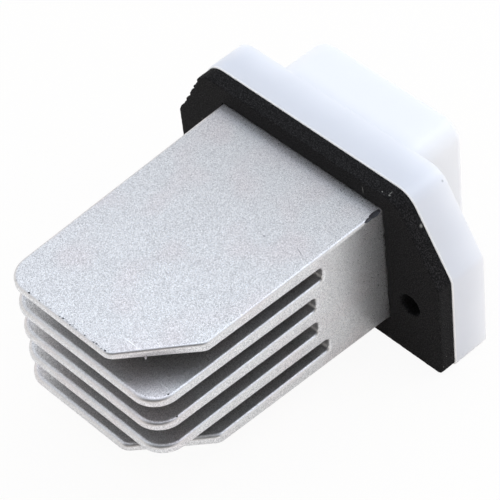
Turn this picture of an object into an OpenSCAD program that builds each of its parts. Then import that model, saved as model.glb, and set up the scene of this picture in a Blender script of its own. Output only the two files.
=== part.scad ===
// Blower motor resistor: a finned die-cast heat sink, a foam gasket and a moulded housing with its circuit.
// The fins lie along -Y in the air stream, the plug goes in from +Y, and Z is up.
// The origin is midway between the two flange screws, on the gasket's sealing face.

/* [Heat sink] */
// Width of the heat sink at the gasket
sink_w = 40; // [36:0.5:44]
// Height of the heat sink at the gasket
sink_h = 28; // [26:0.5:30]
// Height of the heat sink's middle above the line of the flange screws
sink_rise = 6.35; // [5:0.05:7.5]
// Length of the fins' tips from the gasket's sealing face
fin_l = 53.4; // [46:0.2:60]
// Number of slots between the fins
slot_count = 4; // [3:1:5]
// Distance between neighbouring slots
slot_pitch = 6.1; // [5.6:0.05:6.4]
// Height of a slot at its mouth
slot_mouth = 4.5; // [3.8:0.1:4.8]
// Solid length behind the inner slots
inner_root = 16.3; // [14:0.1:20]
// Solid length behind the two outer slots
outer_root = 14.25; // [12:0.05:18]
// Radius in the corners at the end of a slot
slot_r = 1.1; // [0.5:0.1:1.3]
// Draft of the heat sink's sides, in degrees
draft_x = 1.2; // [0.5:0.1:2]
// Draft of its top and underside, in degrees
draft_z = 1.3; // [0.5:0.1:1.8]
// Draft of each slot wall, in degrees
slot_draft = 1.1; // [0.5:0.1:1.4]
// Corner radius of the fins at their tips
tip_r = 5; // [3:0.25:7]
// Width cut from the outermost fins' tips on the right
chamfer_w = 10.6; // [6:0.2:14]
// Length cut from the outermost fins' right sides
chamfer_l = 12.7; // [8:0.1:18]
// Radius where that cut meets the fin's edges
chamfer_r = 2.5; // [1:0.1:4]

/* [Base plate of the heat sink] */
// Thickness of the base plate behind the gasket
base_t = 2.6; // [2:0.1:3.5]
// Overlap of the base plate on the housing round the cavity
ledge = 0.8; // [0.6:0.1:1.2]
// Corner radius of the base plate
base_r = 2; // [1:0.25:3]
// Room round the base plate in its recess
recess_gap = 0.2; // [0.1:0.05:0.4]
// Radius of a screw ear
ear_r = 3.8; // [3.2:0.1:4.4]
// Reach of an ear's screw beyond the base plate's side
ear_out = 4.6; // [4:0.1:5.5]
// Height of the right ear above the line of the flange screws
ear_rise = 13.5; // [11:0.5:15]
// Depth of the left ear below that line
ear_drop = 8; // [7.5:0.1:8.5]

/* [Gasket] */
// Thickness of the foam
gasket_t = 3.2; // [2:0.1:5]
// How far the foam stays inside the flange's edge
gasket_inset = 0.3; // [0.1:0.1:1]
// Room between the foam and the heat sink
gasket_gap = 0.1; // [0.05:0.05:0.4]

/* [Flange] */
// Width of the flange
flange_w = 66.4; // [62:0.2:74]
// Height of its top edge above the line of the screws
flange_top = 24.5; // [24:0.1:27]
// Depth of its bottom edge below that line
flange_bottom = 13.7; // [13.2:0.1:16]
// Depth of the flange's rim
flange_d = 8; // [7:0.2:11]
// Thickness of the rim and of the bosses' walls
rim_t = 2; // [1.6:0.1:2.4]
// Thickness of the plate behind the gasket
plate_t = 2.2; // [1.8:0.1:3]
// Width cut off the top right corner
cut_right_w = 9.4; // [6:0.2:11]
// Height cut off the top right corner
cut_right_h = 15.7; // [10:0.1:17]
// Width cut off the top left corner
cut_left_w = 7.5; // [5:0.1:10]
// Height cut off the top left corner
cut_left_h = 13.6; // [9:0.1:16]
// Radius of the upper corners
top_r = 5; // [2:0.5:6]
// Radius of the corners at the sides
side_r = 3; // [1:0.5:5]
// Radius of the bottom corners
bottom_r = 1.6; // [0.5:0.1:4]
// Distance between the two flange screws
screw_spacing = 51.26; // [49:0.02:54]
// Radius of the flange's screw holes
screw_hole_r = 2.3; // [1.6:0.05:2.6]

/* [Rear block] */
// Length of the block behind the flange
block_d = 10.7; // [8:0.1:14]
// Step from the flange's top edge down to the block
block_step = 0.3; // [0.1:0.1:1]
// Thickness of the block's walls
block_wall = 2; // [1.6:0.1:2.6]
// Radius of the block's upper left corner
block_left_r = 7; // [5:0.1:8]
// Radius of its other three corners
block_r = 4.3; // [3:0.1:6]
// Corner radius of the cavity inside
cavity_r = 4; // [3:0.1:5]
// Spare width in the cavity beside the capacitor
spare_w = 1.5; // [0.5:0.1:3]
// Thickness of the ledge that the base plate seats on
seat_t = 2.4; // [1.8:0.1:3]
// Width of the plug socket
socket_w = 22; // [21.5:0.1:24]
// Height of the plug socket
socket_h = 11; // [10.5:0.1:13]
// Thickness of the socket's walls and floor
socket_wall = 1.8; // [1.4:0.1:2.2]
// Width of the window for the plug's latch
latch_w = 8; // [4:0.5:12]
// Length of that window
latch_l = 3; // [2:0.1:4]
// Width and height of a keying rib in the socket
key_rib = 1; // [0.6:0.1:1.2]
// Thickness of the ribs behind the flange
rib_t = 1.6; // [1.2:0.1:2]
// Width of the two posts that hold the board down
post_w = 1.6; // [1:0.1:2.4]
// Reach of those posts past the cavity's walls
post_out = 1.4; // [0.9:0.1:1.4]

/* [Circuit board] */
// Thickness of the board
board_t = 1.6; // [1:0.1:2]
// Room between the board and the heat sink
board_lift = 1.1; // [0.8:0.1:1.3]
// Room between the board and the cavity's walls
board_gap = 0.3; // [0.1:0.05:0.6]
// Height of the strip of small parts between the socket and the transistor
strip_h = 7.6; // [7.4:0.1:10]

/* [Power transistor] */
// Length of the tab and case together
transistor_l = 15.7; // [15:0.1:17]
// Width of the case
transistor_w = 10; // [9.5:0.1:11]
// Thickness of the case and tab together
transistor_t = 4.5; // [4.2:0.1:5]
// Length of the case
case_l = 9.2; // [8.6:0.1:9.6]
// Slant at the edges of the case's rear face
case_lean = 0.5; // [0.2:0.1:1]
// Thickness of the tab
tab_t = 1.3; // [1:0.1:1.5]
// Length of the leads outside the case
lead_l = 4.2; // [3.4:0.1:6]
// Width of a lead
lead_w = 0.8; // [0.6:0.05:1]
// Thickness of a lead
lead_t = 0.5; // [0.3:0.05:0.6]
// Distance between the leads
lead_pitch = 2.54; // [2:0.02:3]
// Distance of the tab's hole from its end
tab_hole = 2.9; // [2.8:0.1:3.2]
// Room between the tab and the cavity's walls
tab_gap = 2; // [1.8:0.1:3]
// Thickness of the insulating pad under the tab
pad_t = 0.25; // [0.1:0.05:0.5]
// Reach of the pad past the tab
pad_reach = 0.4; // [0.2:0.1:0.6]

/* [Fasteners] */
// Radius of the transistor screw's thread
tr_screw_r = 1.5; // [1.25:0.05:1.75]
// Length of the transistor screw's thread
tr_screw_l = 8; // [6:0.5:12]
// Radius of the transistor screw's head
tr_head_r = 2.8; // [2.6:0.1:3]
// Height of that head
tr_head_h = 2.2; // [1.6:0.1:2.6]
// Thickness of the spring washer and of the bush's collar
washer_t = 0.8; // [0.5:0.1:1.2]
// Thickness of the insulating bush's sleeve
bush_t = 0.3; // [0.2:0.05:0.4]
// Radius of the heat sink screws' thread
sink_screw_r = 1.25; // [1:0.05:1.45]
// Length of the heat sink screws
sink_screw_l = 7; // [6:0.1:7.4]
// Radius of their countersunk heads
sink_head_r = 2.7; // [2.2:0.1:3]
// Depth of the screws' cross recesses
cross_d = 1.2; // [0.6:0.1:1.4]
// Angle of the spring washer's slit, in degrees
slit_turn = 15; // [5:1:25]
// Room round threads, pins and pushed in pieces
fit_gap = 0.05; // [0.02:0.01:0.1]

/* [Terminals] */
// Width of the two wide blades
wide_blade = 6.3; // [5.2:0.1:6.5]
// Width of the two narrow blades
narrow_blade = 2.8; // [2:0.1:3.2]
// Thickness of a blade
blade_t = 0.8; // [0.6:0.05:1]
// Room between neighbouring blades
blade_gap = 1.05; // [0.8:0.05:1.2]
// Room between the narrow blades and the socket's side
narrow_side = 1.8; // [1.6:0.1:2.2]
// Distance between the two narrow blades
narrow_pitch = 5; // [4:0.1:5.6]
// Distance of the blades' tips from the socket's mouth
blade_inset = 1.8; // [1:0.1:4]
// Length of a blade's pointed end
blade_point = 0.9; // [0.5:0.1:1.5]
// Width of a blade's tail in the board
tail_w = 1.5; // [1.2:0.1:1.8]
// Length of a tail beyond the board
tail_out = 0.5; // [0.2:0.05:0.7]

/* [Small parts] */
// Diameter of the filter capacitor
cap_d = 8; // [6.3:0.1:9]
// Height of the filter capacitor
cap_h = 9.6; // [7:0.1:9.8]
// Height of the rubber bung under the filter capacitor
bung_h = 0.6; // [0.3:0.1:1]
// How far the bung stays inside the capacitor's can
bung_in = 0.5; // [0.3:0.1:1]
// Diameter of the thermal fuse
fuse_d = 4; // [3:0.1:4.5]
// Length of the thermal fuse
fuse_l = 11; // [8:0.1:11.4]
// Diameter of the suppressor diode
diode_d = 2.7; // [2:0.1:3]
// Length of the suppressor diode
diode_l = 5.2; // [4:0.1:5.4]
// Radius of the small parts' wires
wire_r = 0.35; // [0.25:0.05:0.45]
// Length, width and height of the control chip's case
chip_size = [4.9, 3.9, 1.5]; // [1:0.1:6]
// Distance between the chip's legs
leg_pitch = 1.27; // [1:0.01:1.3]
// Width of a leg
leg_w = 0.4; // [0.3:0.05:0.5]
// Thickness of a leg
leg_t = 0.2; // [0.1:0.05:0.3]
// Reach of the legs past the chip's case
leg_out = 1; // [0.8:0.05:1.2]
// Room between the chip's case and the board
chip_lift = 0.1; // [0.05:0.05:0.2]
// Length, width and height of a chip resistor
resistor_size = [3.2, 1.6, 0.6]; // [0.4:0.1:4]
// Length, width and height of a chip capacitor
chip_cap_size = [2, 1.25, 0.9]; // [0.4:0.05:3]
// Room between neighbouring parts on the board
part_gap = 0.9; // [0.6:0.1:1.2]

/* [Hidden] */
$fn = 64;
// Small overrun that lets a cut pass cleanly through a face
over = 1;
// Excess that keeps an edge from lying just on another
hair = 0.001;
// Smallest corner radius of an outline that was moved inwards
least_r = 0.2;

// Stations along Y, from the sealing face to the rear
seat_y = gasket_t + base_t;
flange_y = gasket_t + flange_d;
back_y = flange_y + block_d;
board_front = seat_y + board_lift;
board_back = board_front + board_t;
floor_y = board_back + socket_wall;
wall_y = back_y - block_wall;
seat_back = seat_y + seat_t;
tab_y = seat_y + pad_t;
tab_back = tab_y + tab_t;
case_back = tab_y + transistor_t;
washer_top = tab_back + 2 * washer_t;
head_y = gasket_t + sink_head_r - sink_screw_r;

// The cavity is as wide and as high as what it holds
cavity_w = tab_gap + transistor_l + lead_l + part_gap + spare_w + cap_d + part_gap;
cavity_h = socket_h + socket_wall + strip_h + transistor_w + tab_gap;
cavity_x = cavity_w / 2;
cavity_top = flange_top - block_step - block_wall;
cavity_bottom = cavity_top - cavity_h;
cavity_mid = (cavity_top + cavity_bottom) / 2;
block_x = cavity_x + block_wall;

// Places of the pieces in the cavity
socket_mid = cavity_bottom + socket_h / 2;
shroud_top = cavity_bottom + socket_h + socket_wall;
strip_mid = shroud_top + strip_h / 2;
transistor_x = -cavity_x + tab_gap;
transistor_z = cavity_top - tab_gap - transistor_w / 2;
case_x = transistor_x + transistor_l - case_l;
lead_x = transistor_x + transistor_l;
tab_hole_x = transistor_x + tab_hole;
cap_x = cavity_x - part_gap - cap_d / 2;
cap_z = transistor_z;
blade_x1 = -socket_w / 2 + blade_gap + wide_blade / 2;
blade_x2 = blade_x1 + wide_blade + blade_gap;
blade_x3 = socket_w / 2 - narrow_side - narrow_blade / 2;

// The base plate reaches past the cavity on every side
base_x = max(sink_w / 2, cavity_x + ledge);
base_h = cavity_h + 2 * ledge;
ear_x = base_x + ear_out;
EARS = [[ear_x, ear_rise], [-ear_x, -ear_drop]];
MOUNT_HOLES = [[-screw_spacing / 2, 0], [screw_spacing / 2, 0]];
boss_r = screw_hole_r + rim_t;

// Corners of the flange as X, Z and radius, counter-clockwise from the bottom left
FLANGE = [
    [-flange_w / 2, -flange_bottom, bottom_r],
    [flange_w / 2, -flange_bottom, bottom_r],
    [flange_w / 2, flange_top - cut_right_h, side_r],
    [flange_w / 2 - cut_right_w, flange_top, top_r],
    [-flange_w / 2 + cut_left_w, flange_top, top_r],
    [-flange_w / 2, flange_top - cut_left_h, side_r]
];

// Corners of the block in the same way
BLOCK = [
    [-block_x, cavity_bottom - block_wall, block_r],
    [block_x, cavity_bottom - block_wall, block_r],
    [block_x, cavity_top + block_wall, block_r],
    [-block_x, cavity_top + block_wall, block_left_r]
];

// Corner geometry of a convex outline: unit vectors to the neighbours, the bisector and half the angle
function unit(v) = v / norm(v);
function flat(c) = [c[0], c[1]];
function to_last(list, i) = unit(flat(list[(i + len(list) - 1) % len(list)]) - flat(list[i]));
function to_next(list, i) = unit(flat(list[(i + 1) % len(list)]) - flat(list[i]));
function bisector(list, i) = unit(to_last(list, i) + to_next(list, i));
function inward(list, i) = atan2(bisector(list, i)[1], bisector(list, i)[0]);
function half_angle(list, i) = acos(to_last(list, i) * to_next(list, i)) / 2;
function run_in(list, i) = list[i][2] / tan(half_angle(list, i));
function arc_centre(list, i) = flat(list[i]) + bisector(list, i) * list[i][2] / sin(half_angle(list, i));

// The same outline moved inwards by a distance
function inset(list, d) = [
    for (i = [0 : len(list) - 1])
        let (p = flat(list[i]) + bisector(list, i) * d / sin(half_angle(list, i)))
        [p[0], p[1], max(list[i][2] - d, least_r)]
];

// Convex outline with true arcs at its corners, a hair larger than tangent so that they cross its edges
module rounded(list) {
    polygon([
        for (i = [0 : len(list) - 1])
            for (side = list[i][2] > 0 ? [to_last(list, i), to_next(list, i)] : [[0, 0]])
                flat(list[i]) + side * run_in(list, i)
    ]);
    for (i = [0 : len(list) - 1])
        if (list[i][2] > 0)
            translate(arc_centre(list, i)) rotate(inward(list, i)) circle(list[i][2] + hair);
}

// Rectangle with rounded corners, by its middle, size and radius
module rounded_box(mid, size, r) {
    x = size[0] / 2;
    z = size[1] / 2;
    translate(mid) rounded([[-x, -z, r], [x, -z, r], [x, z, r], [-x, z, r]]);
}

// Outline in X and Z, carried along Y
module along_y(from, to) {
    translate([0, to, 0]) rotate([90, 0, 0]) linear_extrude(to - from) children();
}

// Outline in Y and Z, carried along X
module along_x(from, to) {
    translate([from, 0, 0]) rotate([90, 0, 90]) linear_extrude(to - from) children();
}

// Round bar along Y at a place in X and Z
module bar_y(place, from, to, r) {
    translate([place[0], to, place[1]]) rotate([90, 0, 0]) cylinder(h = to - from, r = r);
}

// Cone along Y
module cone_y(place, from, to, r_from, r_to) {
    translate([place[0], to, place[1]]) rotate([90, 0, 0]) cylinder(h = to - from, r1 = r_to, r2 = r_from);
}

// Box from its lowest to its highest corner
module block(low, high) {
    translate(low) cube(high - low);
}

// HEAT SINK

// Slot in side view, narrowing towards its rounded end and running out past the tips
module slot_side(root) {
    mouth = fin_l + 2 * over;
    mouth_h = slot_mouth / 2 + 2 * over * tan(slot_draft);
    end_h = slot_mouth / 2 - (fin_l - root) * tan(slot_draft);
    rounded([[-mouth, -mouth_h, 0], [-root, -end_h, slot_r], [-root, end_h, slot_r], [-mouth, mouth_h, 0]]);
}

// Comb of fins in side view, about the heat sink's middle, a little longer than the plan that trims it
module comb_side() {
    far = fin_l + over;
    far_h = sink_h / 2 - far * tan(draft_z);
    near = seat_y + over;
    difference() {
        polygon([
            [near, -sink_h / 2], [near, sink_h / 2], [0, sink_h / 2],
            [-far, far_h], [-far, -far_h], [0, -sink_h / 2]
        ]);
        for (k = [0 : slot_count - 1]) {
            outer = k == 0 || k == slot_count - 1;
            translate([0, (k - (slot_count - 1) / 2) * slot_pitch])
                slot_side(outer ? outer_root : inner_root);
        }
    }
}

// Plan of the fins with both tip corners rounded
module fin_plan() {
    tip_x = sink_w / 2 - fin_l * tan(draft_x);
    rounded([
        [-tip_x, -fin_l, tip_r], [tip_x, -fin_l, tip_r],
        [sink_w / 2, 0, 0], [sink_w / 2, seat_y, 0], [-sink_w / 2, seat_y, 0], [-sink_w / 2, 0, 0]
    ]);
}

// What is cut from the outermost fins' right tip corner, in plan, with rounded ends
module corner_cut() {
    tip_x = sink_w / 2 - fin_l * tan(draft_x);
    tip_y = -fin_l - hair;
    cut_y = -fin_l + chamfer_l;
    cut_x = sink_w / 2 + cut_y * tan(draft_x) + hair;
    difference() {
        translate([0, -fin_l - over]) square([sink_w, fin_l]);
        rounded([
            [-sink_w, tip_y, 0], [tip_x - chamfer_w, tip_y, chamfer_r], [cut_x, cut_y, chamfer_r],
            [sink_w / 2 + hair, 0, 0], [-sink_w, 0, 0]
        ]);
    }
}

// Base plate with its two screw ears, grown by a distance
module base_outline(grow) {
    rounded_box([0, cavity_mid], [2 * (base_x + grow), base_h + 2 * grow], base_r + grow);
    for (e = EARS) {
        arm = sign(e[0]) * (base_x - ear_r);
        translate([min(arm, e[0]), e[1] - ear_r - grow]) square([abs(e[0] - arm), 2 * (ear_r + grow)]);
        translate(e) circle(ear_r + grow);
    }
}

module heat_sink() {
    split = (slot_count - 1) / 2 * slot_pitch;
    tall = sink_h / 2 + over;
    color("silver") difference() {
        union() {
            translate([0, 0, sink_rise]) difference() {
                intersection() {
                    along_x(-sink_w, sink_w) comb_side();
                    translate([0, 0, -tall]) linear_extrude(2 * tall) fin_plan();
                }
                translate([0, 0, split]) linear_extrude(tall - split) corner_cut();
                translate([0, 0, -tall]) linear_extrude(tall - split) corner_cut();
            }
            along_y(gasket_t, seat_y) base_outline(0);
        }
        for (e = EARS) {
            bar_y(e, gasket_t - over, seat_y + over, sink_screw_r + 3 * fit_gap);
            cone_y(e, gasket_t, head_y, sink_head_r + fit_gap, sink_screw_r + fit_gap);
        }
        bar_y([tab_hole_x, transistor_z], washer_top - tr_screw_l - over, seat_y + over, tr_screw_r);
    }
}

// GASKET

module gasket() {
    color([0.13, 0.13, 0.14]) along_y(0, gasket_t) difference() {
        rounded(inset(FLANGE, gasket_inset));
        rounded_box([0, sink_rise], [sink_w + 2 * gasket_gap, sink_h + 2 * gasket_gap], gasket_gap);
        for (p = MOUNT_HOLES)
            translate(p) circle(screw_hole_r);
    }
}

// HOUSING

// Blades that pass through the socket's floor: X, Z and width
BLADES = [
    [blade_x1, socket_mid, wide_blade], [blade_x2, socket_mid, wide_blade],
    [blade_x3, socket_mid - narrow_pitch / 2, narrow_blade],
    [blade_x3, socket_mid + narrow_pitch / 2, narrow_blade]
];

module flange_shell() {
    along_y(gasket_t, gasket_t + plate_t) rounded(FLANGE);
    along_y(gasket_t, flange_y) difference() {
        rounded(FLANGE);
        rounded(inset(FLANGE, rim_t));
    }
    for (p = MOUNT_HOLES) {
        out = p[0] + sign(p[0]) * (flange_w / 2 - abs(p[0]) - rim_t / 2);
        root = sign(p[0]) * (cavity_x + block_wall / 2);
        bar_y(p, gasket_t, flange_y, boss_r);
        block([min(out, root), gasket_t, -rib_t / 2], [max(out, root), flange_y - rim_t, rib_t / 2]);
    }
    along_y(gasket_t, seat_back) intersection() {
        base_outline(recess_gap + rib_t);
        rounded(FLANGE);
    }
    for (e = EARS)
        bar_y(e, gasket_t, flange_y, ear_r);
}

module block_shell() {
    along_y(gasket_t, back_y) rounded(BLOCK);
}

module socket_box() {
    block(
        [-socket_w / 2 - socket_wall, board_back, cavity_bottom - block_wall / 2],
        [socket_w / 2 + socket_wall, wall_y + block_wall / 2, shroud_top]
    );
    for (side = [-1, 1])
        mirror([(1 - side) / 2, 0, 0]) block(
            [cavity_x - post_out, board_back, strip_mid - post_w / 2],
            [cavity_x + block_wall / 2, wall_y + block_wall / 2, strip_mid + post_w / 2]
        );
}

module housing() {
    color([0.93, 0.95, 0.98]) difference() {
        union() {
            difference() {
                union() {
                    flange_shell();
                    block_shell();
                }
                along_y(gasket_t - over, seat_y) base_outline(recess_gap);
                along_y(seat_y - over, wall_y)
                    rounded_box([0, cavity_mid], [cavity_w, cavity_h], cavity_r);
            }
            socket_box();
        }
        difference() {
            block(
                [-socket_w / 2, floor_y, socket_mid - socket_h / 2],
                [socket_w / 2, back_y + over, socket_mid + socket_h / 2]
            );
            for (side = [-1, 1])
                translate([side * socket_w / 2, 0, socket_mid + side * socket_h / 4])
                    block([-key_rib, floor_y - over, -key_rib / 2], [key_rib, back_y, key_rib / 2]);
        }
        for (b = BLADES)
            translate([b[0], 0, b[1]])
                block(
                    [-b[2] / 2 - fit_gap, board_back - over, -blade_t / 2 - fit_gap],
                    [b[2] / 2 + fit_gap, floor_y + over, blade_t / 2 + fit_gap]
                );
        block(
            [-latch_w / 2, back_y - 2 * latch_l, cavity_bottom - block_wall - over],
            [latch_w / 2, back_y - latch_l, cavity_bottom + over]
        );
        for (p = MOUNT_HOLES)
            bar_y(p, gasket_t - over, flange_y + over, screw_hole_r);
        for (e = EARS)
            bar_y(e, seat_y - over, gasket_t + sink_screw_l + fit_gap, sink_screw_r + fit_gap);
    }
}

// FASTENERS

// Cross recess for a driver
module cross_recess(size, depth) {
    for (turn = [0, 90])
        rotate([0, turn, 0]) translate([-size / 2, 0, -size / 8]) cube([size, depth, size / 4]);
}

module sink_screws() {
    color("dimgray") for (e = EARS) difference() {
        union() {
            cone_y(e, gasket_t, head_y, sink_head_r, sink_screw_r);
            bar_y(e, gasket_t, gasket_t + sink_screw_l, sink_screw_r);
        }
        translate([e[0], gasket_t - over, e[1]]) cross_recess(sink_head_r, over + cross_d);
    }
}

module insulating_bush() {
    place = [tab_hole_x, transistor_z];
    color("ivory") difference() {
        union() {
            bar_y(place, tab_back, tab_back + washer_t, tr_head_r + bush_t);
            bar_y(place, tab_y, tab_back, tr_screw_r + bush_t);
        }
        bar_y(place, tab_y - over, tab_back + washer_t + over, tr_screw_r + fit_gap);
    }
}

module spring_washer() {
    place = [tab_hole_x, transistor_z];
    from = tab_back + washer_t;
    color("gray") difference() {
        bar_y(place, from, washer_top, tr_head_r - 2 * fit_gap);
        bar_y(place, from - over, washer_top + over, tr_screw_r + 2 * fit_gap);
        translate([tab_hole_x, from, transistor_z]) rotate([0, 0, slit_turn])
            block([-washer_t / 4, -over, 0], [washer_t / 4, washer_t + over, tr_head_r + over]);
    }
}

module transistor_screw() {
    place = [tab_hole_x, transistor_z];
    color("lightgray") difference() {
        union() {
            bar_y(place, washer_top - tr_screw_l, washer_top, tr_screw_r - fit_gap);
            bar_y(place, washer_top, washer_top + tr_head_h, tr_head_r);
        }
        translate([tab_hole_x, washer_top + tr_head_h - cross_d, transistor_z])
            cross_recess(tr_head_r, cross_d + over);
    }
}

// POWER TRANSISTOR

module insulating_pad() {
    color("lightpink") difference() {
        block(
            [transistor_x - pad_reach, seat_y, transistor_z - transistor_w / 2 - pad_reach],
            [lead_x + pad_reach, tab_y, transistor_z + transistor_w / 2 + pad_reach]
        );
        bar_y([tab_hole_x, transistor_z], seat_y - over, tab_y + over, tr_screw_r + bush_t);
    }
}

module transistor_tab() {
    color("gainsboro") {
        difference() {
            block(
                [transistor_x, tab_y, transistor_z - transistor_w / 2],
                [lead_x, tab_back, transistor_z + transistor_w / 2]
            );
            bar_y([tab_hole_x, transistor_z], tab_y - over, tab_back + over, tr_screw_r + bush_t + fit_gap);
        }
        for (k = [-1 : 1])
            translate([lead_x, board_back, transistor_z + k * lead_pitch])
                block([0, 0, -lead_w / 2], [lead_l, lead_t, lead_w / 2]);
    }
}

// Case with the slanted sides that let it leave its mould
module transistor_case() {
    color([0.15, 0.15, 0.16])
        translate([0, 0, transistor_z - transistor_w / 2]) linear_extrude(transistor_w)
            polygon([
                [case_x, tab_back], [lead_x, tab_back], [lead_x, case_back - case_lean],
                [lead_x - case_lean, case_back], [case_x + 2 * case_lean, case_back]
            ]);
}

// CIRCUIT BOARD AND ITS SMALL PARTS

// Wires that pass through the board: X and Z
cap_wires = [for (side = [-1, 1]) [cap_x, cap_z + side * cap_d / 4]];
fuse_x = -cavity_x + post_out + part_gap / 2 + 4 * wire_r + fuse_l / 2;
fuse_wires = [for (side = [-1, 1]) [fuse_x + side * (fuse_l / 2 + 3 * wire_r), strip_mid]];
chip_x = fuse_x + fuse_l / 2 + 4 * wire_r + part_gap + chip_size[0] / 2;
diode_x = cavity_x - board_gap - diode_l / 2 - 5 * wire_r;
diode_z = shroud_top + part_gap + diode_d / 2;
diode_wires = [for (side = [-1, 1]) [diode_x + side * (diode_l / 2 + 3 * wire_r), diode_z]];

module circuit_board() {
    notch_x = lead_x + part_gap / 2;
    notch_z = transistor_z - transistor_w / 2 - part_gap / 2;
    color("darkgreen") difference() {
        along_y(board_front, board_back) difference() {
            rounded_box([0, cavity_mid], [cavity_w - 2 * board_gap, cavity_h - 2 * board_gap], cavity_r);
            translate([notch_x - cavity_w, notch_z]) square([cavity_w, cavity_h]);
        }
        for (b = BLADES)
            bar_y([b[0], b[1]], board_front - over, board_back + over, norm([tail_w, blade_t]) / 2 + fit_gap);
        for (w = concat(cap_wires, fuse_wires, diode_wires))
            bar_y(w, board_front - over, board_back + over, wire_r + fit_gap);
    }
}

// Chip with four bent legs on each side, in outline from its case out to its foot on the board
module control_chip() {
    half = chip_size[1] / 2;
    bend = (leg_out - leg_t) / 2;
    knee = chip_size[2] / 2;
    leg = [
        [knee, 0], [knee, bend], [-chip_lift, bend], [-chip_lift, leg_out], [leg_t - chip_lift, leg_out],
        [leg_t - chip_lift, bend + leg_t], [knee + leg_t, bend + leg_t], [knee + leg_t, 0]
    ];
    translate([chip_x, board_back + chip_lift, strip_mid]) {
        color([0.12, 0.12, 0.13]) block(
            [-chip_size[0] / 2, 0, -half],
            [chip_size[0] / 2, chip_size[2], half]
        );
        color("silver") for (side = [0, 1], k = [-1.5 : 1.5])
            mirror([0, 0, side]) translate([k * leg_pitch, 0, half])
                along_x(-leg_w / 2, leg_w / 2) polygon(leg);
    }
}

// Row of small ceramic blocks standing on the board
module chips_on_board(places, size, turn) {
    for (p = places)
        translate([p[0], board_back, p[1]]) rotate([0, turn, 0])
            block([-size[0] / 2, 0, -size[1] / 2], [size[0] / 2, size[2], size[1] / 2]);
}

module chip_resistors() {
    step = resistor_size[0] + part_gap / 2;
    z = strip_mid + strip_h / 2 - resistor_size[1] / 2 - part_gap / 2;
    x = chip_x + chip_size[0] / 2 + part_gap + resistor_size[0] / 2;
    beside = lead_x + lead_l / 2 + part_gap / 2;
    away = lead_pitch + lead_w / 2 + part_gap + resistor_size[1] / 2;
    places = [[x, z], [x + step, z], [beside, transistor_z - away], [beside, transistor_z + away]];
    color([0.2, 0.2, 0.22]) chips_on_board(places, resistor_size, 0);
}

module chip_capacitors() {
    x = (socket_w / 2 + socket_wall + cavity_x - board_gap) / 2;
    places = [for (side = [-1, 1], k = [0, 1]) [side * x, socket_mid + (k - 0.5) * 2 * chip_cap_size[0]]];
    color("tan") chips_on_board(places, chip_cap_size, 90);
}

// Round can on a rubber bung, with its two wires in the board
module filter_capacitor() {
    foot = board_back;
    color("midnightblue") {
        bar_y([cap_x, cap_z], foot + bung_h, foot + cap_h, cap_d / 2);
        bar_y([cap_x, cap_z], foot, foot + bung_h, cap_d / 2 - bung_in);
        for (w = cap_wires)
            bar_y(w, board_front - tail_out, foot, wire_r);
    }
}

// Round body along X with its wires bent into the board
module axial_part(x, z, d, l, wires) {
    y = board_back + d / 2;
    translate([x - l / 2, y, z]) rotate([0, 90, 0]) cylinder(h = l, d = d);
    for (w = wires) {
        away = w[0] - x;
        translate([x, y, z]) rotate([0, 90 * sign(away), 0]) cylinder(h = abs(away), r = wire_r);
        translate([w[0], y, z]) sphere(wire_r + 10 * hair);
        bar_y(w, board_front - tail_out, y, wire_r);
    }
}

module suppressor_diode() {
    color([0.2, 0.2, 0.2]) axial_part(diode_x, diode_z, diode_d, diode_l, diode_wires);
}

module thermal_fuse() {
    color("whitesmoke") axial_part(fuse_x, strip_mid, fuse_d, fuse_l, fuse_wires);
}

// TERMINALS

// Stamped blade with a pointed tip, a shoulder on the board and a tail through it
module terminal(blade) {
    w = blade[2] / 2;
    tip = back_y - blade_inset;
    translate([blade[0], 0, blade[1] - blade_t / 2]) linear_extrude(blade_t)
        polygon([
            [-tail_w / 2, board_front - tail_out], [tail_w / 2, board_front - tail_out],
            [tail_w / 2, board_back], [w, board_back], [w, tip - blade_point], [w - blade_point / 2, tip],
            [-w + blade_point / 2, tip], [-w, tip - blade_point], [-w, board_back], [-tail_w / 2, board_back]
        ]);
}

module motor_terminal() {
    color("goldenrod") terminal(BLADES[0]);
}

module ground_terminal() {
    color("goldenrod") terminal(BLADES[1]);
}

module control_terminal() {
    color("goldenrod") terminal(BLADES[2]);
}

module feedback_terminal() {
    color("goldenrod") terminal(BLADES[3]);
}

heat_sink();
gasket();
housing();
sink_screws();
insulating_pad();
transistor_tab();
transistor_case();
insulating_bush();
spring_washer();
transistor_screw();
circuit_board();
control_chip();
chip_resistors();
chip_capacitors();
filter_capacitor();
suppressor_diode();
thermal_fuse();
motor_terminal();
ground_terminal();
control_terminal();
feedback_terminal();
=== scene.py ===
"""Looks of a blower motor resistor: die-cast heat sink, foam gasket and moulded plug housing."""

import math
import random

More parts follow.
